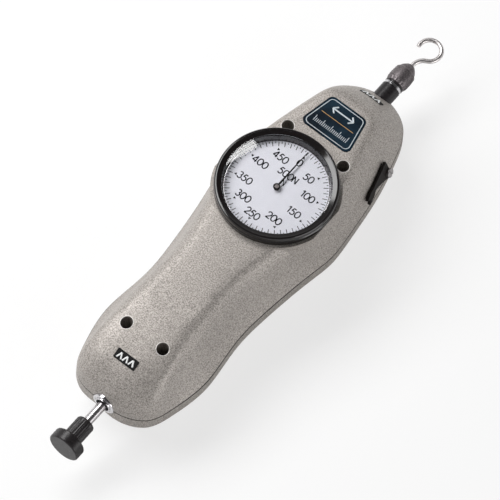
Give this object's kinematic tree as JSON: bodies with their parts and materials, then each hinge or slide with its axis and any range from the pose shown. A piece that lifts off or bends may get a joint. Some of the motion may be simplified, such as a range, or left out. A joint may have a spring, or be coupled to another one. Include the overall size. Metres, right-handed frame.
{
  "type": "mechanical force gauge",
  "caption": "Hand-held mechanical push and pull force gauge with a turning dial, a pull hook and a flat push head.",
  "frame": {"origin": "centre of the four tapped mounting holes in the flat back, directly under the dial axis", "axes": "+Y along the measuring shaft towards the pull hook, +Z out of the dial, +X towards the hold lever's side"},
  "size_m": [0.0604, 0.2468, 0.0522],
  "materials": {
    "case_paint": "die-cast, painted warm metallic grey with a fine sandy grain",
    "bezel_black": "glossy black enamel",
    "black_steel": "blackened steel, knurled where it is gripped",
    "chrome": "bright plated",
    "steel": "ground steel",
    "brass": "machined",
    "glass": "clear crystal",
    "dial_white": "matt white print base",
    "needle_black": "matt black",
    "badge": "dark satin plate with a silver border",
    "label_black": "satin black plate"
  },
  "bodies": {
    "case": {"rear_cover": "case_paint", "front_cover": "case_paint", "case_screws": "steel", "badge_plate": "badge", "push_label": "label_black", "pull_label": "label_black", "push_bush": "chrome", "pull_bush": "black_steel", "spring_anchor": "steel", "measuring_spring": "steel", "guide_rod": "steel", "movement_plate": "brass", "movement_bridge": "brass", "movement_pillars": "brass", "movement_screws": "steel"},
    "shaft": {"measuring_shaft": "chrome", "spring_seat": "steel", "rack_carrier": "steel", "rack": "steel", "push_head": "black_steel", "hook_chuck": "black_steel", "chuck_sleeve": "black_steel", "hook": "steel"},
    "dial": {"bezel": "bezel_black", "bezel_snap_ring": "steel", "crystal": "glass", "dial_ring": "chrome", "dial_plate": "dial_white", "dial_carrier": "case_paint"},
    "pointer": {"needle": "needle_black", "centre_arbor": "steel", "centre_pinion": "brass"},
    "idler": {"idler_arbor": "steel", "idler_pinion": "brass", "idler_gear": "brass"},
    "lever": {"hold_lever": "black_steel", "lever_screw": "chrome", "hold_cam": "steel"}
  },
  "joints": [
    {"name": "shaft_slide", "type": "slide", "parent": "case", "child": "shaft", "axis": [0, 1, 0], "range_m": [0, 0.01005], "stiffness_N_per_m": 49740, "deforming": ["measuring_spring"]},
    {"name": "idler_spin", "type": "hinge", "parent": "case", "child": "idler", "pos_m": [-0.0112, 0, 0.0313], "axis": [0, 0, 1], "range_deg": [-1, 145]},
    {"name": "needle_spin", "type": "hinge", "parent": "case", "child": "pointer", "pos_m": [0, 0, 0.0313], "axis": [0, 0, 1], "range_deg": [-361, 1]},
    {"name": "dial_turn", "type": "hinge", "parent": "case", "child": "dial", "pos_m": [0, 0, 0.047], "axis": [0, 0, 1], "continuous": true},
    {"name": "lever_turn", "type": "hinge", "parent": "case", "child": "lever", "pos_m": [0.02351, 0.04461, 0.02476], "axis": [0.9294, 0.2021, 0.3089], "range_deg": [0, 20]}
  ],
  "couplings": [
    {"joint": "idler_spin", "follows": "shaft_slide", "rad_per_m": 250},
    {"joint": "needle_spin", "follows": "shaft_slide", "rad_per_m": -625}
  ]
}
